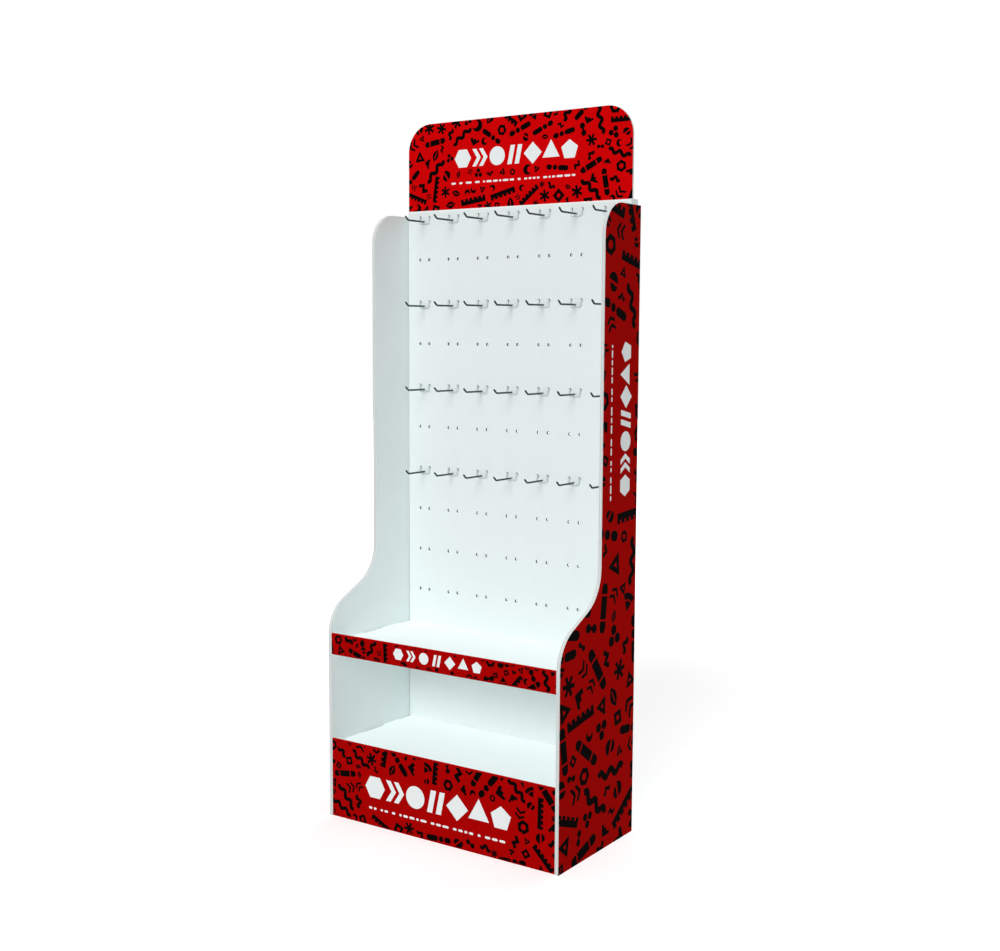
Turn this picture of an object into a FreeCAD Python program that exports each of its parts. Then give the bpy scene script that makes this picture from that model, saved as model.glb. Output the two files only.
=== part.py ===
# Floor display stand of coated corrugated board, with a perforated back and wire hooks.
# Two double-leaf side panels with an S-shaped front edge hold a back panel, a shelf tray and
# a base tray. A printed header card stands in the top of the back panel, and 28 welded wire
# hooks hang in its holes. Lengths are in millimetres.
# The origin is on the floor at the centre of the footprint: X to the right, Y to the rear, Z up.
import FreeCAD, Part
import math
import os

V = FreeCAD.Vector

# Overall sizes
STAND_WIDTH = 584.0
STAND_DEPTH = 295.0
SIDE_HEIGHT = 1300.0
BACK_RISE = 12.5
HEADER_RISE = 187.5

# Boards
SIDE_BOARD = 8.0
SHEET = 4.0
FOLD_INNER_RADIUS = 1.0
FIT_GAP = 0.2

# Side panel outline
UPPER_DEPTH = 143.0
SHOULDER_RISE = 47.0
SHOULDER_SLOPE = 26.0
SHOULDER_LOW_RADIUS = 80.0
SHOULDER_HIGH_RADIUS = 90.0
SIDE_TOP_RADIUS = 65.0
SIDE_FOLD_RADIUS = 3.0
SIDE_SLOT_DEPTH = 4.0

# Perforated back panel
BACK_SETBACK = 28.0
BACK_RETURN = 27.5
TOP_FLANGE = 24.0
HOLE_DIAMETER = 5.0
HOLE_SPACING = 25.0
HOLE_COLUMNS = 7
HOLE_SIDE_MARGIN = 47.7
HOLE_ROWS = 10
HOLE_ROW_PITCH = 92.6
HOLE_TOP_MARGIN = 15.0
HOLE_SIDES = 8
ROUND_HOLE_ROW = 1

# Header card
HEADER_RADIUS = 60.0
HEADER_TAB_WIDTH = 38.0
HEADER_TAB_LENGTH = 70.0
HEADER_TAB_CHAMFER = 6.0
HEADER_TAB_COLUMNS = (-2.5, -0.5, 0.5, 2.5)

# Shelf tray and base tray
SHELF_HEIGHT = 385.0
SHELF_LIP_RISE = 19.0
SHELF_LIP_HEIGHT = 47.5
BASE_HEIGHT = 161.0
BASE_LIP_RISE = 13.0
TRAY_FLANGE = 24.0
BOTTOM_RETURN = 30.0
LIP_EDGE_RADIUS = 3.5
SIDE_TAB_LENGTH = 60.0
SIDE_TAB_REACH = 3.7
SIDE_TAB_MARGIN = 35.0
REAR_TAB_WIDTH = 50.0
REAR_TAB_REACH = 12.0
REAR_TAB_MARGIN = 93.8
REAR_TAB_COUNT = 3
TAB_CRUSH = 0.2

# Dividers that carry the base deck
DIVIDER_SPACING = 188.0
DIVIDER_SET_BACK = 10.0

# Wire hooks
WIRE = 4.0
WIRE_SIDES = 8
HOOK_DROP = 13.0
HOOK_LEG = 10.0
PRONG_LENGTH = 60.0
TIP_LENGTH = 13.0
TIP_ANGLE = 40.0
WELD_OVERLAP = 0.5
HOOK_ROWS = (0, 2, 4, 6)

# Places that follow from the sizes above
FRONT = -STAND_DEPTH / 2
REAR = STAND_DEPTH / 2
INNER_X = STAND_WIDTH / 2 - SIDE_BOARD
UPPER_FRONT = REAR - UPPER_DEPTH
BACK_FACE = REAR - BACK_SETBACK
BACK_REAR_FACE = BACK_FACE + SHEET
BACK_HALF_WIDTH = INNER_X - FIT_GAP
BACK_HEIGHT = SIDE_HEIGHT + BACK_RISE
TOTAL_HEIGHT = BACK_HEIGHT + HEADER_RISE
HOLE_COLUMN_PITCH = 2 * (BACK_HALF_WIDTH - HOLE_SIDE_MARGIN) / (HOLE_COLUMNS - 1)
TRAY_HALF_WIDTH = INNER_X - FIT_GAP
TRAY_BACK = BACK_FACE - FIT_GAP
LIP_THICKNESS = 2 * SHEET
FOLD_OUTER_RADIUS = FOLD_INNER_RADIUS + SHEET


def corner_arc(before, corner, after, radius):
    """Return the arc of a radius that rounds one corner, with its two ends."""
    to_before = (before - corner).normalize()
    to_after = (after - corner).normalize()
    half = to_before.getAngle(to_after) / 2
    reach = radius / math.tan(half)
    start = corner + to_before * reach
    end = corner + to_after * reach
    middle_way = (to_before + to_after).normalize()
    middle = corner + middle_way * (radius / math.sin(half) - radius)
    return start, end, Part.Arc(start, middle, end).toShape()


def rounded_face(points, radii):
    """Make a flat face from corner points, each rounded by its own radius."""
    edges = []
    ends = []
    count = len(points)
    for i, corner in enumerate(points):
        if radii[i] > 0:
            start, end, arc = corner_arc(points[i - 1], corner, points[(i + 1) % count], radii[i])
            ends.append((start, end, arc))
        else:
            ends.append((corner, corner, None))
    for i in range(count):
        arc = ends[i][2]
        if arc is not None:
            edges.append(arc)
        start = ends[i][1]
        end = ends[(i + 1) % count][0]
        if start.distanceToPoint(end) > 1e-6:
            edges.append(Part.LineSegment(start, end).toShape())
    return Part.Face(Part.Wire(edges))


def box(x0, x1, y0, y1, z0, z1):
    """Make a box between two X, two Y and two Z places."""
    return Part.makeBox(x1 - x0, y1 - y0, z1 - z0, V(x0, y0, z0))


def column_x(column):
    """Return the X centre of a pair of holes, counted from the middle column."""
    return column * HOLE_COLUMN_PITCH


def hole_columns():
    """Return the X centre of each column of hole pairs, from left to right."""
    middle = (HOLE_COLUMNS - 1) / 2
    return [column_x(i - middle) for i in range(HOLE_COLUMNS)]


def row_z(row):
    """Return the height of a row of holes, counted down from the top row."""
    return BACK_HEIGHT - HOLE_TOP_MARGIN - row * HOLE_ROW_PITCH


def side_tab_centres():
    """Return the Y centres of the two tabs on each side of a tray."""
    reach = SIDE_TAB_MARGIN + SIDE_TAB_LENGTH / 2
    return [FRONT + LIP_THICKNESS + reach, TRAY_BACK - reach]


def rear_tab_centres():
    """Return the X centres of the tabs on the rear edge of a tray."""
    first = REAR_TAB_MARGIN - TRAY_HALF_WIDTH
    pitch = -2 * first / (REAR_TAB_COUNT - 1)
    return [first + i * pitch for i in range(REAR_TAB_COUNT)]


def side_slots(deck_top):
    """Return the slots in the inner leaf of the right side panel for one tray."""
    half = SIDE_TAB_LENGTH / 2 + FIT_GAP
    return [box(INNER_X - 1, INNER_X + SIDE_SLOT_DEPTH, y - half, y + half,
                deck_top - SHEET - FIT_GAP, deck_top + FIT_GAP) for y in side_tab_centres()]


def right_side_panel():
    """Make the right side: a double-leaf board with an S-shaped front edge."""
    shoulder_low = SHELF_HEIGHT + SHELF_LIP_RISE + SHOULDER_RISE
    step = UPPER_FRONT - FRONT
    shoulder_high = shoulder_low + step * math.tan(math.radians(SHOULDER_SLOPE))
    x = INNER_X
    outline = [V(x, REAR, 0), V(x, FRONT, 0), V(x, FRONT, shoulder_low),
               V(x, UPPER_FRONT, shoulder_high), V(x, UPPER_FRONT, SIDE_HEIGHT),
               V(x, REAR, SIDE_HEIGHT)]
    radii = [0, 0, SHOULDER_LOW_RADIUS, SHOULDER_HIGH_RADIUS, SIDE_TOP_RADIUS, 0]
    panel = rounded_face(outline, radii).extrude(V(SIDE_BOARD, 0, 0))
    rear_edges = [e for e in panel.Edges
                  if abs(e.BoundBox.YMin - REAR) < 1e-6 and e.BoundBox.ZLength > SIDE_HEIGHT / 2]
    panel = panel.makeFillet(SIDE_FOLD_RADIUS, rear_edges)
    for slot in side_slots(SHELF_HEIGHT) + side_slots(BASE_HEIGHT):
        panel = panel.cut(slot)
    return panel


def hole_cutter(x, z, is_round):
    """Make the cutter of one punched hole, round or with a few flat sides around that circle."""
    centre = V(x, BACK_FACE - 1, z)
    depth = SHEET + 2
    radius = HOLE_DIAMETER / 2
    if is_round:
        return Part.makeCylinder(radius, depth, centre, V(0, 1, 0))
    corner = radius / math.cos(math.pi / HOLE_SIDES)
    ring = []
    for i in range(HOLE_SIDES + 1):
        angle = 2 * math.pi * (i % HOLE_SIDES + 0.5) / HOLE_SIDES
        ring.append(centre + V(math.cos(angle), 0, math.sin(angle)) * corner)
    return Part.Face(Part.makePolygon(ring)).extrude(V(0, depth, 0))


def hole_cutters():
    """Make the cutters of all the hook holes.

    One free pair in the middle column is truly round. The others have flat sides, so that
    140 small holes keep the facets few.
    """
    columns = hole_columns()
    middle = columns[len(columns) // 2]
    cutters = []
    for x in columns:
        for row in range(HOLE_ROWS):
            is_round = row == ROUND_HOLE_ROW and x == middle
            for side in (-0.5, 0.5):
                cutters.append(hole_cutter(x + side * HOLE_SPACING, row_z(row), is_round))
    return cutters


def back_panel():
    """Make the back: one sheet with folded sides and top, holes for hooks and slots for tabs."""
    w = BACK_HALF_WIDTH
    rear = BACK_FACE + BACK_RETURN
    inner_w = w - SHEET
    outline = [V(-w, rear, 0), V(-w, BACK_FACE, 0), V(w, BACK_FACE, 0), V(w, rear, 0),
               V(inner_w, rear, 0), V(inner_w, BACK_REAR_FACE, 0),
               V(-inner_w, BACK_REAR_FACE, 0), V(-inner_w, rear, 0)]
    out, inn = FOLD_OUTER_RADIUS, FOLD_INNER_RADIUS
    panel = rounded_face(outline, [0, out, out, 0, 0, inn, inn, 0]).extrude(V(0, 0, BACK_HEIGHT))

    # The top edge folds to the rear, between the two side returns.
    x = -inner_w + FIT_GAP
    top = BACK_HEIGHT
    flange = [V(x, BACK_FACE, top), V(x, BACK_FACE + TOP_FLANGE, top),
              V(x, BACK_FACE + TOP_FLANGE, top - SHEET), V(x, BACK_REAR_FACE, top - SHEET),
              V(x, BACK_REAR_FACE, top - 3 * SHEET), V(x, BACK_FACE, top - 3 * SHEET)]
    flange_face = rounded_face(flange, [out, 0, 0, inn, 0, 0])
    panel = panel.cut(box(x, -x, BACK_FACE - 1, BACK_REAR_FACE, top - SHEET, top + 1))
    panel = panel.fuse(flange_face.extrude(V(-2 * x, 0, 0))).removeSplitter()

    cuts = hole_cutters()
    half = REAR_TAB_WIDTH / 2 + FIT_GAP
    for x in rear_tab_centres():
        for deck_top in (SHELF_HEIGHT, BASE_HEIGHT):
            cuts.append(box(x - half, x + half, BACK_FACE - 1, BACK_REAR_FACE + 1,
                            deck_top - SHEET - FIT_GAP, deck_top + FIT_GAP))
    half = HEADER_TAB_WIDTH / 2 + FIT_GAP
    for column in HEADER_TAB_COLUMNS:
        x = column_x(column)
        cuts.append(box(x - half, x + half, BACK_REAR_FACE, BACK_REAR_FACE + SHEET + 2 * FIT_GAP,
                        top - SHEET - FOLD_INNER_RADIUS, top + 1))
    return panel.cut(Part.makeCompound(cuts))


def header_card():
    """Make the header: a card with round top corners and tabs that stand in the back panel."""
    y = BACK_REAR_FACE + FIT_GAP
    w = BACK_HALF_WIDTH
    bottom = BACK_HEIGHT
    points = [V(-w, y, bottom), V(-w, y, TOTAL_HEIGHT), V(w, y, TOTAL_HEIGHT), V(w, y, bottom)]
    radii = [0, HEADER_RADIUS, HEADER_RADIUS, 0]
    tab_bottom = bottom - HEADER_TAB_LENGTH
    half = HEADER_TAB_WIDTH / 2
    tip_half = half - HEADER_TAB_CHAMFER
    tab_side_bottom = tab_bottom + HEADER_TAB_CHAMFER
    for column in sorted(HEADER_TAB_COLUMNS, reverse=True):
        x = column_x(column)
        points += [V(x + half, y, bottom), V(x + half, y, tab_side_bottom),
                   V(x + tip_half, y, tab_bottom), V(x - tip_half, y, tab_bottom),
                   V(x - half, y, tab_side_bottom), V(x - half, y, bottom)]
        radii += [0] * 6
    return rounded_face(points, radii).extrude(V(0, SHEET, 0))


def tray_deck(deck_top):
    """Make a deck with side flanges folded down and tabs to the sides and the rear.

    The tabs are pressed a little thinner than the sheet, so that they slide into their slots.
    """
    w = TRAY_HALF_WIDTH
    y0 = FRONT + SHEET
    low = deck_top - TRAY_FLANGE
    under = deck_top - SHEET
    outline = [V(-w, y0, low), V(-w, y0, deck_top), V(w, y0, deck_top), V(w, y0, low),
               V(w - SHEET, y0, low), V(w - SHEET, y0, under),
               V(-w + SHEET, y0, under), V(-w + SHEET, y0, low)]
    out, inn = FOLD_OUTER_RADIUS, FOLD_INNER_RADIUS
    deck = rounded_face(outline, [0, out, out, 0, 0, inn, inn, 0])
    deck = deck.extrude(V(0, TRAY_BACK - y0, 0))
    tabs = []
    tab_top = deck_top - TAB_CRUSH
    half = SIDE_TAB_LENGTH / 2
    reach = INNER_X + SIDE_TAB_REACH
    for y in side_tab_centres():
        tabs.append(box(-reach, reach, y - half, y + half, under, tab_top))
    half = REAR_TAB_WIDTH / 2
    for x in rear_tab_centres():
        tabs.append(box(x - half, x + half, TRAY_BACK - SHEET, TRAY_BACK + REAR_TAB_REACH,
                        under, tab_top))
    return deck.fuse(tabs)


def tray(deck_top, lip_top, lip_bottom):
    """Make a tray: a deck whose front is folded up, over and down as a double lip."""
    w = TRAY_HALF_WIDTH
    y0 = FRONT
    y1 = FRONT + SHEET
    y2 = FRONT + LIP_THICKNESS
    under = deck_top - SHEET
    points = [V(-w, y0, lip_bottom), V(-w, y0, lip_top), V(-w, y2, lip_top), V(-w, y2, under),
              V(-w, y1, under), V(-w, y1, lip_bottom + SHEET),
              V(-w, y0 + BOTTOM_RETURN, lip_bottom + SHEET), V(-w, y0 + BOTTOM_RETURN, lip_bottom)]
    radii = [LIP_EDGE_RADIUS, LIP_EDGE_RADIUS, LIP_EDGE_RADIUS, 0, 0, FOLD_INNER_RADIUS, 0, 0]
    lip = rounded_face(points, radii).extrude(V(2 * w, 0, 0))
    return lip.fuse(tray_deck(deck_top)).removeSplitter()


def divider_height():
    """Return the height of the dividers, up to the underside of the base deck."""
    return BASE_HEIGHT - SHEET - FIT_GAP


def base_long_divider():
    """Make the board that runs from side to side under the base deck, slotted from above."""
    half_length = TRAY_HALF_WIDTH - SHEET - FOLD_INNER_RADIUS - FIT_GAP
    height = divider_height()
    y = DIVIDER_SET_BACK - SHEET / 2
    board = box(-half_length, half_length, y, y + SHEET, 0, height)
    half_slot = SHEET / 2 + FIT_GAP
    for x in (-DIVIDER_SPACING / 2, DIVIDER_SPACING / 2):
        slot = box(x - half_slot, x + half_slot, y - 1, y + SHEET + 1, height / 2, height + 1)
        board = board.cut(slot)
    return board


def base_cross_divider(x):
    """Make a board that runs from front to rear under the base deck, slotted from below."""
    height = divider_height()
    y0 = FRONT + SHEET + FIT_GAP
    y1 = TRAY_BACK
    board = box(x - SHEET / 2, x + SHEET / 2, y0, y1, 0, height)
    notch_rear = FRONT + BOTTOM_RETURN + FIT_GAP
    notch = box(x - SHEET, x + SHEET, y0 - 1, notch_rear, -1, SHEET + FOLD_INNER_RADIUS + FIT_GAP)
    half_slot = SHEET / 2 + FIT_GAP
    slot = box(x - SHEET, x + SHEET, DIVIDER_SET_BACK - half_slot, DIVIDER_SET_BACK + half_slot,
               -1, height / 2 + FIT_GAP)
    return board.cut(notch).cut(slot)


def wire_along(points):
    """Sweep the wire's section along straight runs that meet in mitred corners."""
    path = Part.makePolygon(points)
    along = (points[1] - points[0]).normalize()
    helper = V(1, 0, 0) if abs(along.x) < 0.5 else V(0, 0, 1)
    side = along.cross(helper).normalize()
    other = along.cross(side)
    radius = WIRE / 2 / math.cos(math.pi / WIRE_SIDES)
    ring = []
    for i in range(WIRE_SIDES + 1):
        angle = 2 * math.pi * (i % WIRE_SIDES + 0.5) / WIRE_SIDES
        ring.append(points[0] + side * (radius * math.cos(angle)) + other * (radius * math.sin(angle)))
    return path.makePipeShell([Part.makePolygon(ring)], True, True, 1)


def wire_hook():
    """Make one hook about the middle of a pair of holes, on the back panel's front face.

    The bent wire goes up behind the board, through both holes and down to a crossbar.
    The prong is welded on the crossbar and turns up at its tip.
    """
    radius = WIRE / 2
    front = -radius - FIT_GAP
    behind = SHEET + FIT_GAP + radius
    half = HOLE_SPACING / 2
    base = wire_along([V(-half, behind, HOOK_LEG), V(-half, behind, 0), V(-half, front, 0),
                       V(-half, front, -HOOK_DROP), V(half, front, -HOOK_DROP), V(half, front, 0),
                       V(half, behind, 0), V(half, behind, HOOK_LEG)])
    prong_z = -HOOK_DROP + WIRE - WELD_OVERLAP
    tip = math.radians(TIP_ANGLE)
    bend = V(0, -PRONG_LENGTH, prong_z)
    end = bend + V(0, -math.cos(tip), math.sin(tip)) * TIP_LENGTH
    prong = wire_along([V(0, -FIT_GAP, prong_z), bend, end])
    return base.fuse(prong)


def make_parts():
    """Make every piece of the stand, each under its own name."""
    right_side = right_side_panel()
    parts = {
        "right_side_panel": right_side,
        "left_side_panel": right_side.mirror(V(0, 0, 0), V(1, 0, 0)),
        "perforated_back_panel": back_panel(),
        "header_card": header_card(),
        "upper_shelf_tray": tray(SHELF_HEIGHT, SHELF_HEIGHT + SHELF_LIP_RISE,
                                 SHELF_HEIGHT + SHELF_LIP_RISE - SHELF_LIP_HEIGHT),
        "base_tray": tray(BASE_HEIGHT, BASE_HEIGHT + BASE_LIP_RISE, 0),
        "base_long_divider": base_long_divider(),
        "base_cross_divider_left": base_cross_divider(-DIVIDER_SPACING / 2),
        "base_cross_divider_right": base_cross_divider(DIVIDER_SPACING / 2),
    }
    hook = wire_hook()
    for line, row in enumerate(HOOK_ROWS, start=1):
        for number, x in enumerate(hole_columns(), start=1):
            placed = hook.copy()
            placed.translate(V(x, BACK_FACE, row_z(row)))
            parts[f"hook_row{line}_col{number}"] = placed
    return parts


def main():
    os.makedirs("parts", exist_ok=True)
    for name, shape in make_parts().items():
        if len(shape.Solids) == 1:
            shape = shape.Solids[0]
        shape.exportStep(os.path.join("parts", name + ".step"))
        print(name, "solids", len(shape.Solids), "valid", shape.isValid(),
              "volume", round(shape.Volume / 1000, 2))


main()
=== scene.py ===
import math
import random
import bmesh
import bpy
from mathutils import Matrix, Vector
from mathutils.geometry import delaunay_2d_cdt


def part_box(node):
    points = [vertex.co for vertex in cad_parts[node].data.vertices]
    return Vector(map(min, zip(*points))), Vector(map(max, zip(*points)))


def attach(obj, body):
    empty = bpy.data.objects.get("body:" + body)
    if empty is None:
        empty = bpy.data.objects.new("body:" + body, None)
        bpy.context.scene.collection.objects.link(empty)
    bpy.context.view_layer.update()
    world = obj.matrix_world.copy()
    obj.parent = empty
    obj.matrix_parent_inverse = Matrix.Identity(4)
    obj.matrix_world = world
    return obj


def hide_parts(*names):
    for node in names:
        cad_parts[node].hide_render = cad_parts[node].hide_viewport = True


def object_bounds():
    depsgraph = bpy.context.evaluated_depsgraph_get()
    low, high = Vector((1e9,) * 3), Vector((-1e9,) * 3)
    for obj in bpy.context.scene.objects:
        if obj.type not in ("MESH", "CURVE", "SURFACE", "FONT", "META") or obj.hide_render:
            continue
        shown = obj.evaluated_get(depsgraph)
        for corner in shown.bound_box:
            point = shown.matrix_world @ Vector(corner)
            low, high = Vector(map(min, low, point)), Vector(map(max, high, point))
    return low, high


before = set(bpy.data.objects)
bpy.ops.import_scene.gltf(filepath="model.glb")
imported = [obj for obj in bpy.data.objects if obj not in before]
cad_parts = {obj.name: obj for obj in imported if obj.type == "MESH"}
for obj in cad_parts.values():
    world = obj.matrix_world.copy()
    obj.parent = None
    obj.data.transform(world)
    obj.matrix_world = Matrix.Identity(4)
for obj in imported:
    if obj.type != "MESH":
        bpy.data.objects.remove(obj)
cad_low, cad_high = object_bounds()

MM = 0.001
X_AXIS = Vector((1, 0, 0))
Y_AXIS = Vector((0, 1, 0))
Z_AXIS = Vector((0, 0, 1))

# Camera of the photograph, fitted to the stand's stated sizes
CAMERA_PLACE = Vector((1.6151, -2.2857, 1.0407))
CAMERA_YAW = 0.60022
CAMERA_PITCH = -0.10411
CAMERA_ROLL = 0.00458
FOCAL_PIXELS = 1348.46
IMAGE_WIDTH = 1000
SENSOR_WIDTH = 36.0

# Linear colours
WHITE_BOARD = (0.85, 0.915, 0.91)
EDGE_PAPER = (0.87, 0.91, 0.90)
# Painted shade in the open hollows of a cut corrugated edge
EDGE_HOLLOW_PAINTED_SHADE = (0.58, 0.61, 0.60)
# Painted shade for the walls inside the back panel's holes and slots and for the rings round the
# holes
HOLE_SHADE_COLOUR = (0.035, 0.06, 0.055)
KRAFT = (0.42, 0.29, 0.17)
# One print red written three times: lighter on the header as painted light, darker on the trays
# and darker still on the sides as painted shade
HEADER_RED_PAINTED_LIGHT = (0.66, 0.001, 0.002)
TRAY_RED_PAINTED_SHADE = (0.41, 0.001, 0.001)
SIDE_RED_PAINTED_SHADE = (0.39, 0.002, 0.001)
BLACK_INK = (0.003, 0.002, 0.002)
WHITE_INK = (0.88, 0.93, 0.93)
PRONG_STEEL = (0.006, 0.034, 0.031)
BASE_ZINC = (0.62, 0.68, 0.68)

# Board, in millimetres
SHEET = 4.0
SIDE_LEAF = 4.0
FLUTE_PITCH = 7.5

# Holes and slots of the back panel, in millimetres
HOLE_SPACING = 25.0
HOLE_COLUMN_PITCH = 78.7
HOLE_ROW_PITCH = 92.6
HOLE_TOP_ROW = 1297.5
# Rings of painted shade round the hook holes
HOLE_SHADE_RING_RADIUS = 3.3
LOWEST_HOLE_SHADE_RING = 440.0
# Limits of the painted shade on the walls inside the back panel's holes and slots
SKIN = 0.1
HOLE_SHADE_MARGIN = 20.0
HOLE_SHADE_TOP_MARGIN = 8.0

# Cut edge of corrugated board, as shares of a leaf's thickness
FLUTE_SWING = 0.30
LINER_AT = 0.46
PAPER_EDGE = 0.07
HOLLOW_EDGE = 0.16

# Hooks, in millimetres about the middle of a pair of holes on the back panel's face
WIRE_RADIUS = 2.0
FIT_GAP = 0.2
HOOK_DROP = 13.0
HOOK_LEG = 10.0
PRONG_LENGTH = 60.0
TIP_LENGTH = 13.0
TIP_ANGLE = math.radians(40.0)
WELD_OVERLAP = 0.5
THROUGH_BEND = 2.1
CROSSBAR_BEND = 3.5
TIP_BEND = 8.0
WIRE_SIDES = 16
WIRE_METALLIC = 0.35
WELD_SIZE = (4, 2, 2)
DOME_STEPS = (0.0, 0.3, 0.65, 1.0)
BEND_STEPS = 5
HOOK_LINES = 4
HOOK_COLUMNS = 7


# Materials


def add_node(tree, kind, **values):
    """Add a shader node and set the given properties on it."""
    node = tree.nodes.new(kind)
    for key, value in values.items():
        setattr(node, key, value)
    return node


def new_material(name, roughness, specular):
    """Make a material and return it with its tree, its shader and its object coordinates."""
    material = bpy.data.materials.new(name)
    material.use_nodes = True
    tree = material.node_tree
    shader = tree.nodes["Principled BSDF"]
    shader.inputs["Roughness"].default_value = roughness
    shader.inputs["Specular IOR Level"].default_value = specular
    place = add_node(tree, "ShaderNodeTexCoord").outputs["Object"]
    return material, tree, shader, place


def math_node(tree, operation, *values):
    """Add a math node; each value is a number or another node's output."""
    node = add_node(tree, "ShaderNodeMath", operation=operation)
    for socket, value in zip(node.inputs, values):
        if isinstance(value, (int, float)):
            socket.default_value = value
        else:
            tree.links.new(value, socket)
    return node.outputs[0]


def noise(tree, place, scale, detail=3.0):
    """Add a noise texture and return its factor."""
    node = add_node(tree, "ShaderNodeTexNoise")
    node.inputs["Scale"].default_value = scale
    node.inputs["Detail"].default_value = detail
    tree.links.new(place, node.inputs["Vector"])
    return node.outputs["Fac"]


def blend_colour(tree, factor, low, high):
    """Mix two colours by a factor output."""
    node = add_node(tree, "ShaderNodeMix", data_type="RGBA")
    node.inputs["A"].default_value = (*low, 1)
    node.inputs["B"].default_value = (*high, 1)
    tree.links.new(factor, node.inputs["Factor"])
    return node.outputs["Result"]


def mottled(tree, place, colour, scale, amount):
    """Vary a colour a little about its value."""
    low = [c * (1 - amount) for c in colour]
    high = [min(1.0, c * (1 + amount)) for c in colour]
    return blend_colour(tree, noise(tree, place, scale), low, high)


def bump(tree, height, strength, distance, below=None):
    """Add a bump over a height output, on top of another bump if there is one."""
    node = add_node(tree, "ShaderNodeBump")
    node.inputs["Strength"].default_value = strength
    node.inputs["Distance"].default_value = distance
    tree.links.new(height, node.inputs["Height"])
    if below:
        tree.links.new(below, node.inputs["Normal"])
    return node.outputs["Normal"]


def coated_board(name, colour, flute_axis="X", roughness=0.6, specular=0.15, amount=0.012,
                 fibre=0.06, tone_change=None):
    """Coated board: mottled colour, paper fibre and the faint wash of the flutes below."""
    material, tree, shader, place = new_material(name, roughness, specular)
    tone = mottled(tree, place, colour, 45.0, amount)
    if tone_change:
        tone = tone_change(tree, place, tone)
    tree.links.new(tone, shader.inputs["Base Color"])
    wave = add_node(tree, "ShaderNodeTexWave", wave_type="BANDS", bands_direction=flute_axis)
    wave.inputs["Scale"].default_value = math.pi / (10 * FLUTE_PITCH * MM)
    wave.inputs["Distortion"].default_value = 0.4
    tree.links.new(place, wave.inputs["Vector"])
    below = bump(tree, wave.outputs["Fac"], 0.04, 0.0005)
    normal = bump(tree, noise(tree, place, 900.0, 4.0), fibre, 0.0004, below)
    tree.links.new(normal, shader.inputs["Normal"])
    return material


def ink(name, colour, flute_axis="X", amount=0.04):
    """A film of ink on the coated board."""
    return coated_board(name, colour, flute_axis, roughness=0.6, specular=0.004, amount=amount,
                        fibre=0.04)


def between(tree, value, low, high):
    """Return 1 where a value lies between two limits, else 0."""
    above = math_node(tree, "GREATER_THAN", value, low)
    return math_node(tree, "MULTIPLY", above, math_node(tree, "LESS_THAN", value, high))


def off_nearest(tree, value, pitch):
    """Return how far a value lies from the nearest whole step of a pitch."""
    steps = math_node(tree, "ROUND", math_node(tree, "DIVIDE", value, pitch))
    return math_node(tree, "SUBTRACT", value, math_node(tree, "MULTIPLY", steps, pitch))


def hole_shade_rings(tree, parts):
    """Return 1 on the rings of painted shade round the hook holes, else 0."""
    x = off_nearest(tree, parts.outputs["X"], HOLE_COLUMN_PITCH * MM)
    x = math_node(tree, "SUBTRACT", math_node(tree, "ABSOLUTE", x), HOLE_SPACING / 2 * MM)
    z = math_node(tree, "SUBTRACT", parts.outputs["Z"], HOLE_TOP_ROW * MM)
    z = off_nearest(tree, z, HOLE_ROW_PITCH * MM)
    x_squared = math_node(tree, "MULTIPLY", x, x)
    z_squared = math_node(tree, "MULTIPLY", z, z)
    away = math_node(tree, "SQRT", math_node(tree, "ADD", x_squared, z_squared))
    near = math_node(tree, "LESS_THAN", away, HOLE_SHADE_RING_RADIUS * MM)
    above = math_node(tree, "GREATER_THAN", parts.outputs["Z"], LOWEST_HOLE_SHADE_RING * MM)
    return math_node(tree, "MULTIPLY", above, near)


def paint_hole_shade(tree, place, tone):
    """Paint dark shade on the walls inside the back panel's holes and slots, and on rings round
    the holes.
    """
    low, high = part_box("perforated_back_panel")
    parts = add_node(tree, "ShaderNodeSeparateXYZ")
    tree.links.new(place, parts.inputs["Vector"])
    half_width = high.x - HOLE_SHADE_MARGIN * MM
    in_depth = between(tree, parts.outputs["Y"], low.y + SKIN * MM, low.y + (SHEET - SKIN) * MM)
    in_width = between(tree, parts.outputs["X"], -half_width, half_width)
    in_height = between(tree, parts.outputs["Z"], HOLE_SHADE_MARGIN * MM,
                        high.z - HOLE_SHADE_TOP_MARGIN * MM)
    shaded_walls = math_node(tree, "MULTIPLY", math_node(tree, "MULTIPLY", in_depth, in_width), in_height)
    painted_shade = math_node(tree, "MAXIMUM", shaded_walls, hole_shade_rings(tree, parts))
    node = add_node(tree, "ShaderNodeMix", data_type="RGBA")
    tree.links.new(painted_shade, node.inputs["Factor"])
    tree.links.new(tone, node.inputs["A"])
    node.inputs["B"].default_value = (*HOLE_SHADE_COLOUR, 1)
    return node.outputs["Result"]


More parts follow.
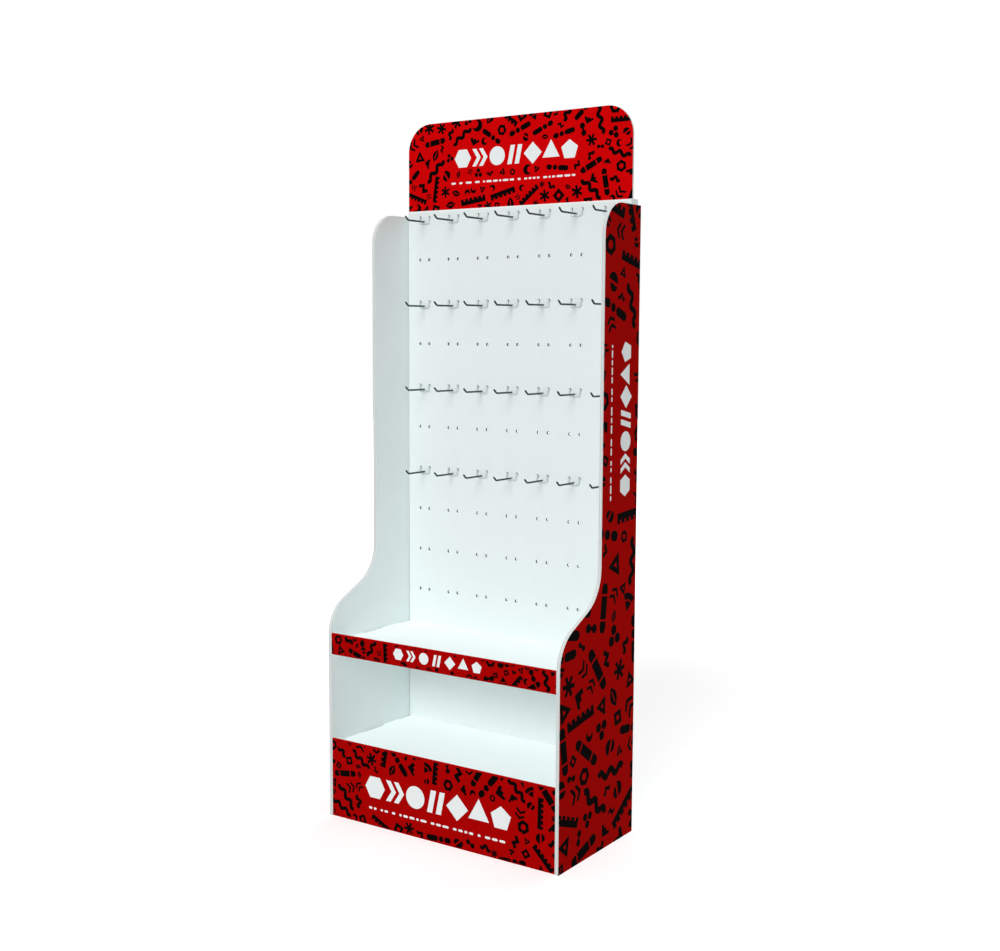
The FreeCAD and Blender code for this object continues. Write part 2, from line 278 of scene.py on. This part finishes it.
def corrugated_edge(name, across_axis, along_axis, leaf, start):
    """The cut edge of corrugated board: liners with the fluting's wave between them, and the
    hollows between them painted darker as shade.

    A leaf's face lies at start on the axis across the board.
    """
    material, tree, shader, place = new_material(name, 0.8, 0.15)
    parts = add_node(tree, "ShaderNodeSeparateXYZ")
    tree.links.new(place, parts.inputs["Vector"])
    across = math_node(tree, "ABSOLUTE", parts.outputs[across_axis])
    across = math_node(tree, "ABSOLUTE", math_node(tree, "SUBTRACT", across, start))
    across = math_node(tree, "FRACT", math_node(tree, "DIVIDE", across, leaf * MM))
    along = math_node(tree, "MULTIPLY", parts.outputs[along_axis],
                      2 * math.pi / (FLUTE_PITCH * MM))
    wave = math_node(tree, "MULTIPLY_ADD", math_node(tree, "SINE", along), FLUTE_SWING, 0.5)
    off_wave = math_node(tree, "ABSOLUTE", math_node(tree, "SUBTRACT", across, wave))
    off_middle = math_node(tree, "ABSOLUTE", math_node(tree, "SUBTRACT", across, 0.5))
    to_liner = math_node(tree, "SUBTRACT", LINER_AT, off_middle)
    nearest = math_node(tree, "MINIMUM", off_wave, to_liner)
    hollow = add_node(tree, "ShaderNodeMapRange", interpolation_type="SMOOTHSTEP")
    hollow.inputs["From Min"].default_value = PAPER_EDGE
    hollow.inputs["From Max"].default_value = HOLLOW_EDGE
    tree.links.new(nearest, hollow.inputs["Value"])
    depth = hollow.outputs["Result"]
    # The hollows get painted shade in their colour, and the bump dents them
    tree.links.new(blend_colour(tree, depth, EDGE_PAPER, EDGE_HOLLOW_PAINTED_SHADE),
                   shader.inputs["Base Color"])
    height = math_node(tree, "SUBTRACT", 1.0, depth)
    tree.links.new(bump(tree, height, 0.5, 0.0008), shader.inputs["Normal"])
    return material


def drawn_wire(name, colour, roughness):
    """Steel wire with fine variation in its shine."""
    material, tree, shader, place = new_material(name, roughness, 0.5)
    tree.links.new(mottled(tree, place, colour, 400.0, 0.15), shader.inputs["Base Color"])
    shader.inputs["Metallic"].default_value = WIRE_METALLIC
    spread = add_node(tree, "ShaderNodeMapRange")
    spread.inputs["To Min"].default_value = roughness - 0.06
    spread.inputs["To Max"].default_value = roughness + 0.06
    tree.links.new(noise(tree, place, 700.0), spread.inputs["Value"])
    tree.links.new(spread.outputs["Result"], shader.inputs["Roughness"])
    return material


white_board = coated_board("white_coated_board", WHITE_BOARD)
white_side_board = coated_board("white_side_board", WHITE_BOARD, "Y")
kraft_board = coated_board("kraft_board", KRAFT, roughness=0.85, amount=0.08, fibre=0.2)
# Lit and shaded copies of one red ink: painted light on the header, painted shade on the trays and
# sides
header_red_painted_light = ink("header_red_ink_painted_light", HEADER_RED_PAINTED_LIGHT)
tray_red_painted_shade = ink("tray_red_ink_painted_shade", TRAY_RED_PAINTED_SHADE)
side_red_painted_shade = ink("side_red_ink_painted_shade", SIDE_RED_PAINTED_SHADE, "Y")
black_ink = ink("black_ink", BLACK_INK, amount=0.2)
white_ink = ink("white_ink", WHITE_INK, amount=0.01)
# White board with painted shade in and round the back panel's holes and slots
board_with_painted_hole_shade = coated_board("white_board_painted_hole_shade", WHITE_BOARD, tone_change=paint_hole_shade)
side_edge = corrugated_edge("side_cut_edge", "X", "Z", SIDE_LEAF, cad_high.x)
header_edge = corrugated_edge("header_cut_edge", "Y", "X", SHEET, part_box("header_card")[0].y)
tray_edge = corrugated_edge("tray_cut_edge", "Y", "Z", SHEET, -cad_low.y)
prong_steel = drawn_wire("dark_prong_steel", PRONG_STEEL, 0.35)
zinc_wire = drawn_wire("pale_zinc_wire", BASE_ZINC, 0.32)


# Shapes of the print. A motif is a list of (outline, is_ink), painted one over the other and
# about one unit across.


def arc(radius, start, end, steps, x=0.0, y=0.0):
    """Return points on an arc between two angles in degrees."""
    turns = [math.radians(start + (end - start) * i / steps) for i in range(steps + 1)]
    return [(x + radius * math.cos(a), y + radius * math.sin(a)) for a in turns]


def disc(radius, x=0.0, y=0.0, steps=20):
    return arc(radius, 0, 360, steps, x, y)[:-1]


def polygon(sides, radius, start=0.0):
    return arc(radius, start, start + 360, sides)[:-1]


def slab(width, height, x=0.0, y=0.0, lean=0.0):
    """Return an upright or leaning bar."""
    w, h = width / 2, height / 2
    return [(x - w - lean, y - h), (x + w - lean, y - h), (x + w + lean, y + h),
            (x - w + lean, y + h)]


def pill(length, thickness, x=0.0, y=0.0):
    r = thickness / 2
    reach = length / 2 - r
    return arc(r, -90, 90, 8, x + reach, y) + arc(r, 90, 270, 8, x - reach, y)


def chevron(size, x=0.0):
    """Return an angle bracket that points right."""
    back, tip = x - size * 0.3, x + size * 0.35
    t = size * 0.55
    return [(back, -size), (back + t, -size), (tip + t, 0), (back + t, size), (back, size),
            (tip, 0)]


def ribbon(line, thickness):
    """Return the outline of an even stroke along a line of points."""
    left, right = [], []
    for i, point in enumerate(line):
        here = Vector(point)
        after = Vector(line[min(i + 1, len(line) - 1)]) - here
        before = here - Vector(line[max(i - 1, 0)])
        after = (after if after.length else before).normalized()
        before = (before if before.length else after).normalized()
        ahead = (before + after).normalized()
        side = Vector((-ahead.y, ahead.x)) * (thickness / 2 / ahead.dot(after))
        left.append(tuple(here + side))
        right.append(tuple(here - side))
    return left + right[::-1]


def hexagon_nut():
    return [(polygon(6, 0.5), True), (disc(0.2), False)]


def leaf():
    side = [(-0.52 + 1.04 * i / 10, 0.3 * math.sin(math.pi * i / 10)) for i in range(10)]
    outline = [(x, -y) for x, y in side] + [(-x, y) for x, y in side]
    return [(outline, True), (slab(0.55, 0.06), False)]


def zigzag():
    return [(ribbon([(-0.46, -0.16), (-0.16, 0.17), (0.14, -0.16), (0.46, 0.17)], 0.27), True)]


def wave_stroke():
    line = [(-0.44 + 0.88 * i / 16, 0.16 * math.sin(3 * math.pi * i / 16)) for i in range(17)]
    return [(ribbon(line, 0.26), True)]


def two_chevrons():
    return [(chevron(0.4, x), True) for x in (-0.26, 0.16)]


def crescent():
    return [(disc(0.48), True), (disc(0.31, 0.25, 0.1), False)]


def half_discs():
    return [(arc(0.38, 0, 180, 12, 0, 0.05), True), (arc(0.3, 180, 360, 10, 0.1, -0.07), True)]


def diamond():
    return [(polygon(4, 0.54), True), (polygon(4, 0.19), False)]


def dumbbell():
    return [(slab(0.6, 0.2), True), (disc(0.25, -0.3), True), (disc(0.25, 0.3), True)]


def three_dots():
    return [(disc(0.22, 0.28 * math.cos(a), 0.28 * math.sin(a), 14), True)
            for a in (math.radians(d) for d in (90, 210, 330))]


def triangle():
    return [(polygon(3, 0.58, 90), True), (polygon(3, 0.15, 90), False)]


def stairs():
    return [([(-0.4, -0.36), (0.4, -0.36), (0.4, -0.14), (0.14, -0.14), (0.14, 0.1),
              (-0.12, 0.1), (-0.12, 0.34), (-0.4, 0.34)], True)]


def six_rays():
    rays = []
    for turn in (0, 60, 120):
        c, s = math.cos(math.radians(turn)), math.sin(math.radians(turn))
        rays.append(([(x * c - y * s, x * s + y * c) for x, y in slab(0.94, 0.2)], True))
    return rays


def fan():
    sector = [(0, -0.4)] + arc(0.85, 55, 125, 10, 0, -0.4)
    return [(sector, True), (ribbon(arc(0.52, 50, 130, 8, 0, -0.4), 0.07), False)]


def notched_bar():
    edge = [(-0.95, 0.2)]
    for i in range(5):
        x = -0.72 + i * 0.34
        edge += [(x, 0.2), (x, 0.06), (x + 0.1, 0.06), (x + 0.1, 0.2)]
    return [(edge + [(0.95, 0.2), (0.95, -0.2), (-0.95, -0.2)], True)]


def dashed_bar():
    return [(pill(0.9, 0.38, -0.5), True), (pill(0.38, 0.38, 0.2), True),
            (pill(0.5, 0.38, 0.7), True)]


def banded_pill():
    bands = [(slab(0.08, 0.5, x), False) for x in (-0.5, 0.45)]
    return [(pill(1.9, 0.42), True)] + bands


def long_wave():
    line = [(-0.92 + 1.84 * i / 24, 0.13 * math.sin(5 * math.pi * i / 24)) for i in range(25)]
    return [(ribbon(line, 0.26), True)]


SMALL_MOTIFS = (hexagon_nut, leaf, zigzag, wave_stroke, two_chevrons, crescent, half_discs,
                diamond, dumbbell, three_dots, triangle, stairs, six_rays, fan)
LONG_MOTIFS = (notched_bar, dashed_bar, banded_pill, long_wave)


def set_at(outline, u, v, size, turn=0.0):
    """Scale, turn and move an outline."""
    c, s = math.cos(turn) * size, math.sin(turn) * size
    return [(u + x * c - y * s, v + x * s + y * c) for x, y in outline]


def off_rectangle(u, v, rectangle):
    """Return how far a point lies outside a rectangle (u0, v0, u1, v1)."""
    u0, v0, u1, v1 = rectangle
    return math.hypot(max(u0 - u, 0, u - u1), max(v0 - v, 0, v - v1))


def scatter(area, kept_free, seed, size, gap):
    """Throw motifs over a rectangle, clear of each other and of the places kept free.

    Long motifs come first, then small ones, each round smaller than the one before.
    """
    dice = random.Random(seed)
    u0, v0, u1, v1 = area
    square = (u1 - u0) * (v1 - v0) / size ** 2
    rounds = [(LONG_MOTIFS, 1.25, int(square * 0.5)), (SMALL_MOTIFS, 1.1, int(square * 3)),
              (SMALL_MOTIFS, 0.9, int(square * 8)), (SMALL_MOTIFS, 0.65, int(square * 14))]
    taken = []
    shapes = []
    for motifs, scale, throws in rounds:
        for _ in range(throws):
            motif = dice.choice(motifs)
            u, v = dice.uniform(u0, u1), dice.uniform(v0, v1)
            turn = dice.uniform(0, 2 * math.pi)
            span = size * scale * dice.uniform(0.9, 1.1)
            steps = (-0.75, -0.4, 0.0, 0.4, 0.75) if motifs is LONG_MOTIFS else (0.0,)
            reach = span * (0.24 if motifs is LONG_MOTIFS else 0.48)
            spots = [set_at([(step, 0)], u, v, span, turn)[0] for step in steps]
            free = all(math.dist(spot, (a, b)) > reach + r + gap
                       for spot in spots for a, b, r in taken)
            free = free and all(off_rectangle(*spot, place) > reach + gap
                                for spot in spots for place in kept_free)
            if free:
                taken += [(*spot, reach) for spot in spots]
                shapes += [(set_at(outline, u, v, span, turn), BLACK if is_ink else GROUND)
                           for outline, is_ink in motif()]
    return shapes


def mark_row(u0, v0, u1, v1, turned=False):
    """Return a row of plain white shapes that spans a rectangle, turned upwards if asked."""
    length, height = (v1 - v0, u1 - u0) if turned else (u1 - u0, v1 - v0)
    row = [[polygon(6, 0.52)], [chevron(0.44, -0.34), chevron(0.44, 0.08)], [disc(0.47, steps=32)],
           [slab(0.26, 0.94, -0.22, 0, 0.1), slab(0.26, 0.94, 0.22, 0, 0.1)], [polygon(4, 0.54)],
           [polygon(3, 0.58, 90)], [polygon(5, 0.5, 90)]]
    step = length / len(row)
    height = min(height, 0.95 * step)
    shapes = []
    for i, outlines in enumerate(row):
        along = -length / 2 + (i + 0.5) * step
        for outline in outlines:
            placed = set_at(outline, along, 0, height)
            if turned:
                placed = [(-y, x) for x, y in placed]
            middle_u, middle_v = (u0 + u1) / 2, (v0 + v1) / 2
            shapes.append(([(x + middle_u, y + middle_v) for x, y in placed], WHITE))
    return shapes


def dash_row(u0, v0, u1, v1, seed, turned=False):
    """Return a thin row of white dashes of uneven length in a rectangle."""
    dice = random.Random(seed)
    length, height = (v1 - v0, u1 - u0) if turned else (u1 - u0, v1 - v0)
    shapes = []
    along = 0.0
    while along < length - height:
        dash = min(dice.uniform(0.5, 1.6) * height, length - along)
        outline = pill(dash, height * 0.42, along + dash / 2 - length / 2)
        if turned:
            outline = [(-y, x) for x, y in outline]
        shapes.append(([(x + (u0 + u1) / 2, y + (v0 + v1) / 2) for x, y in outline], WHITE))
        along += dash + height * dice.choice((0.35, 0.35, 0.9))
    return shapes


# Printed pieces

BOARD, GROUND, BLACK, WHITE, EDGE = range(5)
FLAT = 0.9999
INKED_LEAN = 0.3
SMOOTH_BELOW = math.radians(25)


def opening_loop(bm):
    """Return the vertices round the one opening of a mesh, in order."""
    rim = {e for e in bm.edges if e.is_boundary}
    edge = rim.pop()
    loop = [edge.verts[0], edge.verts[1]]
    while rim:
        edge = next(e for e in loop[-1].link_edges if e in rim)
        rim.remove(edge)
        loop.append(edge.other_vert(loop[-1]))
    return loop[:-1]


def signed_area(outline):
    return sum(a[0] * b[1] - b[0] * a[1]
               for a, b in zip(outline, outline[1:] + outline[:1])) / 2


def split_rim(bm, loop, flat, crossings):
    """Split the rim's edges where the print's lines cross them; return the new vertices."""
    made = {}
    for i, start in enumerate(loop):
        end = loop[(i + 1) % len(loop)]
        a, b = flat(start.co), flat(end.co)
        way = b - a
        found = []
        for index, point in crossings.items():
            share = (point - a).dot(way) / way.length_squared
            if 0 < share < 1 and (a + way * share - point).length < 1e-3:
                found.append((share, index))
        edge = bm.edges.get((start, end))
        origin, reach = start.co.copy(), end.co - start.co
        for share, index in sorted(found):
            _, start = bmesh.utils.edge_split(edge, start, 0.5)
            start.co = origin + reach * share
            made[index] = start
            edge = bm.edges.get((start, end))
    return made


def lay_print(bm, right, up, shapes):
    """Cut the outermost flat face along right x up into printed regions."""
    outward = right.cross(up)
    level = max(v.co.dot(outward) for v in bm.verts)
    old = [f for f in bm.faces if f.normal.dot(outward) > FLAT
           and abs(f.calc_center_median().dot(outward) - level) < 1e-5]
    bmesh.ops.delete(bm, geom=old, context="FACES")

    def flat(place):
        return Vector((place.dot(right), place.dot(up))) / MM

    loop = opening_loop(bm)
    rim = [tuple(flat(v.co)) for v in loop]
    if signed_area(rim) < 0:
        loop.reverse()
        rim.reverse()
    points, outlines = [], []
    for outline in [rim] + [shape[0] for shape in shapes]:
        if signed_area(outline) < 0:
            outline = outline[::-1]
        outlines.append(list(range(len(points), len(points) + len(outline))))
        points += [Vector(p) for p in outline]
    inks = [GROUND] + [shape[1] for shape in shapes]
    places, _, regions, sources, _, cover = delaunay_2d_cdt(points, [], outlines, 1, 1e-4, True)

    known = {i: loop[min(s)] for i, s in enumerate(sources) if s and min(s) < len(loop)}
    new = {i: places[i] for i, s in enumerate(sources) if i not in known}
    known.update(split_rim(bm, loop, flat, new))
    for region, under in zip(regions, cover):
        if 0 not in under:
            continue
        corners = []
        for i in region:
            if i not in known:
                place = places[i] * MM
                known[i] = bm.verts.new(right * place.x + up * place.y + outward * level)
            corners.append(known[i])
        face = bm.faces.new(corners)
        face.material_index = inks[max(under)]


def printed_piece(name, node, materials, right, up, shapes, edge_axes):
    """Make a printed piece from a node's mesh.

    Faces that look along one of edge_axes are cut edges, and curved strips that lean enough
    towards the print are inked too.
    """
    outward = right.cross(up)
    bm = bmesh.new()
    bm.from_mesh(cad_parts[node].data)
    bmesh.ops.remove_doubles(bm, verts=bm.verts, dist=1e-6)
    bm.normal_update()
    for face in bm.faces:
        lean = face.normal.dot(outward)
        if INKED_LEAN < lean < FLAT:
            face.material_index = GROUND
        elif any(abs(face.normal.dot(axis)) > 0.5 for axis in edge_axes):
            face.material_index = EDGE
        else:
            face.material_index = BOARD
        face.smooth = max(abs(c) for c in face.normal) < FLAT
    lay_print(bm, right, up, shapes)
    bm.normal_update()
    for edge in bm.edges:
        edge.smooth = edge.calc_face_angle(0.0) < SMOOTH_BELOW
    bmesh.ops.triangulate(bm, faces=[f for f in bm.faces if len(f.verts) > 3])
    mesh = bpy.data.meshes.new(name)
    bm.to_mesh(mesh)
    bm.free()
    for material in materials:
        mesh.materials.append(material)
    piece = bpy.data.objects.new(name, mesh)
    bpy.context.scene.collection.objects.link(piece)
    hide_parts(node)
    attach(piece, "root")


def node_area(node, right, up):
    """Return a node's rectangle in print millimetres."""
    low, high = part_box(node)
    ends_u = sorted((low.dot(right) / MM, high.dot(right) / MM))
    ends_v = sorted((low.dot(up) / MM, high.dot(up) / MM))
    return ends_u[0], ends_v[0], ends_u[1], ends_v[1]


def header():
    """The header card: a dense pattern, a white row across it and a line of dashes below."""
    left, _, right, top = node_area("header_card", X_AXIS, Z_AXIS)
    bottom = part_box("perforated_back_panel")[1].z / MM
    row = (-158, bottom + 86, 158, bottom + 128)
    dashes = (-166, bottom + 50, 158, bottom + 60)
    shapes = scatter((left, bottom, right, top), [row, dashes], seed=11, size=25, gap=1.3)
    shapes += mark_row(*row) + dash_row(*dashes, seed=5)
    materials = [white_board, header_red_painted_light, black_ink, white_ink, header_edge]
    printed_piece("header_print_card", "header_card", materials,
                  X_AXIS, Z_AXIS, shapes, (X_AXIS, Z_AXIS))


def tray(name, node, shapes):
    """A folded tray, printed on its front."""
    materials = [white_board, tray_red_painted_shade, black_ink, white_ink, tray_edge]
    printed_piece(name, node, materials, X_AXIS, Z_AXIS, shapes, (X_AXIS,))


def shelf_tray():
    """The shelf tray, with a white row on its lip."""
    area = node_area("upper_shelf_tray", X_AXIS, Z_AXIS)
    row = (-118, area[1] + 13, 114, area[3] - 9)
    shapes = scatter(area, [row], seed=23, size=22, gap=0.9) + mark_row(*row)
    tray("shelf_tray_board", "upper_shelf_tray", shapes)


def base_tray():
    """The base tray, with a white row and a line of dashes on its front wall."""
    area = node_area("base_tray", X_AXIS, Z_AXIS)
    row = (-192, 58, 184, 114)
    dashes = (-182, 34, 172, 46)
    shapes = scatter(area, [row, dashes], seed=37, size=26, gap=1.4)
    shapes += mark_row(*row) + dash_row(*dashes, seed=8)
    tray("base_tray_board", "base_tray", shapes)


def side(name, node, right, seed):
    """A side panel, printed on its outer face, with the white row upright near the rear edge."""
    area = node_area(node, right, Z_AXIS)
    rear = 1 if right.y > 0 else -1
    row_ends = sorted((70 * rear, 120 * rear))
    dash_ends = sorted((32 * rear, 43 * rear))
    row = (row_ends[0], 716, row_ends[1], 1030)
    dashes = (dash_ends[0], 712, dash_ends[1], 1028)
    shapes = scatter(area, [row, dashes], seed, size=42, gap=4.0)
    shapes += mark_row(*row, turned=True) + dash_row(*dashes, seed, turned=True)
    materials = [white_side_board, side_red_painted_shade, black_ink, white_ink, side_edge]
    printed_piece(name, node, materials, right, Z_AXIS, shapes,
                  (Y_AXIS, Z_AXIS))


header()
shelf_tray()
base_tray()
side("right_side_board", "right_side_panel", Y_AXIS, 41)
side("left_side_board", "left_side_panel", -Y_AXIS, 53)


# Hooks


def bent_path(corners, radii):
    """Return points along straight runs whose inner corners are rounded by the given radii."""
    path = [corners[0]]
    for before, here, after, radius in zip(corners, corners[1:], corners[2:], radii):
        to_before = (before - here).normalized()
        to_after = (after - here).normalized()
        half = to_before.angle(to_after) / 2
        reach = radius / math.tan(half)
        centre = here + (to_before + to_after).normalized() * (radius / math.sin(half))
        first = here + to_before * reach - centre
        last = here + to_after * reach - centre
        for i in range(BEND_STEPS + 1):
            path.append(centre + first.slerp(last, i / BEND_STEPS) * radius)
    return path + [corners[-1]]


def add_wire(bm, path, radius, index):
    """Sweep a round wire with domed ends along a path."""
    first = (path[1] - path[0]).normalized()
    last = (path[-1] - path[-2]).normalized()
    turns = [share * math.pi / 2 for share in DOME_STEPS]
    stations = [(path[0] + first * radius * (1 - math.cos(a)), math.sin(a)) for a in turns]
    stations += [(place, 1.0) for place in path[1:-1]]
    stations += [(path[-1] - last * radius * (1 - math.cos(a)), math.sin(a))
                 for a in reversed(turns)]
    ahead = first
    side_way = ahead.orthogonal().normalized()
    rings = []
    for i, (place, share) in enumerate(stations):
        if 0 < i < len(stations) - 1:
            new_ahead = (stations[i + 1][0] - stations[i - 1][0]).normalized()
            side_way.rotate(ahead.rotation_difference(new_ahead))
            ahead = new_ahead
        if share < 1e-6:
            rings.append([bm.verts.new(place)])
            continue
        other = ahead.cross(side_way)
        angles = [2 * math.pi * k / WIRE_SIDES for k in range(WIRE_SIDES)]
        rings.append([bm.verts.new(place + (side_way * math.cos(a) + other * math.sin(a))
                                   * radius * share) for a in angles])
    for low, high in zip(rings, rings[1:]):
        for k in range(WIRE_SIDES):
            n = (k + 1) % WIRE_SIDES
            if len(low) == 1:
                corners = [low[0], high[n], high[k]]
            elif len(high) == 1:
                corners = [low[k], low[n], high[0]]
            else:
                corners = [low[k], low[n], high[n], high[k]]
            face = bm.faces.new(corners)
            face.smooth = True
            face.material_index = index


def hook_mesh():
    """One hook: a wire bent through both holes, with a prong welded on its crossbar."""
    front = -WIRE_RADIUS - FIT_GAP
    behind = SHEET + FIT_GAP + WIRE_RADIUS
    half = HOLE_SPACING / 2
    left = [Vector((-half, behind, HOOK_LEG)), Vector((-half, behind, 0)),
            Vector((-half, front, 0)), Vector((-half, front, -HOOK_DROP))]
    corners = left + [Vector((-p.x, p.y, p.z)) for p in reversed(left)]
    bends = [THROUGH_BEND, THROUGH_BEND, CROSSBAR_BEND]
    base = bent_path(corners, bends + bends[::-1])
    prong_z = -HOOK_DROP + 2 * WIRE_RADIUS - WELD_OVERLAP
    bend = Vector((0, -PRONG_LENGTH, prong_z))
    tip = bend + Vector((0, -math.cos(TIP_ANGLE), math.sin(TIP_ANGLE))) * TIP_LENGTH
    prong = bent_path([Vector((0, -FIT_GAP, prong_z)), bend, tip], [TIP_BEND])
    bm = bmesh.new()
    add_wire(bm, base, WIRE_RADIUS, 0)
    add_wire(bm, prong, WIRE_RADIUS, 1)
    weld_place = Matrix.Translation((0, front, -HOOK_DROP + WIRE_RADIUS))
    weld = weld_place @ Matrix.Diagonal((*WELD_SIZE, 1))
    blob = bmesh.ops.create_uvsphere(bm, u_segments=16, v_segments=8, radius=1.0, matrix=weld)
    for face in {f for v in blob["verts"] for f in v.link_faces}:
        face.smooth = True
    bmesh.ops.scale(bm, vec=(MM, MM, MM), verts=bm.verts)
    bmesh.ops.recalc_face_normals(bm, faces=bm.faces)
    mesh = bpy.data.meshes.new("wire_hook")
    bm.to_mesh(mesh)
    bm.free()
    mesh.materials.append(zinc_wire)
    mesh.materials.append(prong_steel)
    return mesh


def hooks():
    """Hang a hook in each place where the frame has one."""
    mesh = hook_mesh()
    face_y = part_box("perforated_back_panel")[0].y
    for line in range(1, HOOK_LINES + 1):
        for number in range(1, HOOK_COLUMNS + 1):
            node = f"hook_row{line}_col{number}"
            low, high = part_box(node)
            piece = bpy.data.objects.new(f"wire_hook_{line}_{number}", mesh)
            bpy.context.scene.collection.objects.link(piece)
            piece.location = ((low.x + high.x) / 2, face_y, high.z - HOOK_LEG * MM)
            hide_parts(node)
            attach(piece, "root")


hooks()


# Pieces that keep their frame mesh


def finish_node(node, material):
    """Give a node of the frame its finish."""
    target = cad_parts[node]
    for slot in target.material_slots:
        slot.material = material


# The back panel's board carries painted shade in and round its holes and slots
finish_node("perforated_back_panel", board_with_painted_hole_shade)
for divider in ("base_long_divider", "base_cross_divider_left", "base_cross_divider_right"):
    finish_node(divider, kraft_board)


# Floor, world, lamps and camera

FLOOR_RADIUS = 14.0
FLOOR_COLOUR = (0.80, 0.80, 0.80)
FLOOR_LIFT = 0.33
FLOOR_CLEAR_FROM = 1.2
FLOOR_CLEAR_TO = 3.5
WORLD_LEVEL = 0.26


def seen_directly(tree):
    """Return 1 for rays of the camera and of mirror-like reflections, else 0."""
    path = add_node(tree, "ShaderNodeLightPath")
    seen = math_node(tree, "MAXIMUM", path.outputs["Is Camera Ray"],
                     path.outputs["Is Glossy Ray"])
    return math_node(tree, "MAXIMUM", seen, path.outputs["Is Transmission Ray"])


def floor():
    """A white floor that takes the stand's shadow near it and turns plain white far away."""
    mesh = bpy.data.meshes.new("floor")
    bm = bmesh.new()
    bmesh.ops.create_circle(bm, cap_ends=True, radius=FLOOR_RADIUS, segments=96)
    bm.to_mesh(mesh)
    bm.free()
    piece = bpy.data.objects.new("floor", mesh)
    bpy.context.scene.collection.objects.link(piece)
    piece.location.z = cad_low.z - 0.0005
    material = bpy.data.materials.new("pale_floor")
    material.use_nodes = True
    tree = material.node_tree
    tree.nodes.clear()
    diffuse = add_node(tree, "ShaderNodeBsdfDiffuse")
    diffuse.inputs["Color"].default_value = (*FLOOR_COLOUR, 1)
    place = add_node(tree, "ShaderNodeTexCoord").outputs["Object"]
    away = add_node(tree, "ShaderNodeVectorMath", operation="LENGTH")
    tree.links.new(place, away.inputs[0])
    lift = add_node(tree, "ShaderNodeMapRange", interpolation_type="SMOOTHSTEP")
    lift.inputs["From Min"].default_value = FLOOR_CLEAR_FROM
    lift.inputs["From Max"].default_value = FLOOR_CLEAR_TO
    lift.inputs["To Min"].default_value = FLOOR_LIFT
    lift.inputs["To Max"].default_value = 1.0
    tree.links.new(away.outputs["Value"], lift.inputs["Value"])
    glow = add_node(tree, "ShaderNodeEmission")
    tree.links.new(math_node(tree, "MULTIPLY", lift.outputs["Result"], seen_directly(tree)),
                   glow.inputs["Strength"])
    both = add_node(tree, "ShaderNodeAddShader")
    tree.links.new(diffuse.outputs[0], both.inputs[0])
    tree.links.new(glow.outputs[0], both.inputs[1])
    output = add_node(tree, "ShaderNodeOutputMaterial")
    tree.links.new(both.outputs[0], output.inputs["Surface"])
    mesh.materials.append(material)


def studio_world():
    """A plain white surround, seen at full strength and lighting the stand softly."""
    world = bpy.data.worlds.new("studio")
    world.use_nodes = True
    tree = world.node_tree
    background = tree.nodes["Background"]
    background.inputs["Color"].default_value = (1, 1, 1, 1)
    level = math_node(tree, "MULTIPLY_ADD", seen_directly(tree), 1 - WORLD_LEVEL, WORLD_LEVEL)
    tree.links.new(level, background.inputs["Strength"])
    bpy.context.scene.world = world


def sun(name, azimuth, elevation, strength, angle, casts_shadow=True):
    """Add a soft distant lamp; azimuth 0 is in front of the stand, 90 on its right."""
    lamp = bpy.data.lights.new(name, "SUN")
    lamp.use_shadow = casts_shadow
    lamp.energy = strength
    lamp.angle = math.radians(angle)
    piece = bpy.data.objects.new(name, lamp)
    bpy.context.scene.collection.objects.link(piece)
    a, e = math.radians(azimuth), math.radians(elevation)
    towards = Vector((math.sin(a) * math.cos(e), -math.cos(a) * math.cos(e), math.sin(e)))
    piece.rotation_mode = "QUATERNION"
    piece.rotation_quaternion = towards.to_track_quat("Z", "Y")


def camera():
    """Stand where the photograph was taken."""
    ahead = Vector((-math.sin(CAMERA_YAW) * math.cos(CAMERA_PITCH),
                    math.cos(CAMERA_YAW) * math.cos(CAMERA_PITCH), math.sin(CAMERA_PITCH)))
    right = ahead.cross(Z_AXIS).normalized()
    up = right.cross(ahead)
    c, s = math.cos(CAMERA_ROLL), math.sin(CAMERA_ROLL)
    rolled_right = right * c + up * s
    rolled_up = up * c - right * s
    data = bpy.data.cameras.new("camera")
    data.sensor_width = SENSOR_WIDTH
    data.lens = FOCAL_PIXELS * SENSOR_WIDTH / IMAGE_WIDTH
    piece = bpy.data.objects.new("camera", data)
    bpy.context.scene.collection.objects.link(piece)
    turn = Matrix((rolled_right, rolled_up, -ahead)).transposed().to_4x4()
    piece.matrix_world = Matrix.Translation(CAMERA_PLACE) @ turn
    bpy.context.scene.camera = piece


floor()
studio_world()
sun("key", 12, 28, 1.35, 26)
sun("top_fill", 0, 84, 1.1, 40, casts_shadow=False)
sun("rear_fill", 180, 30, 0.7, 60)
camera()
bpy.context.scene.view_settings.view_transform = "Standard"
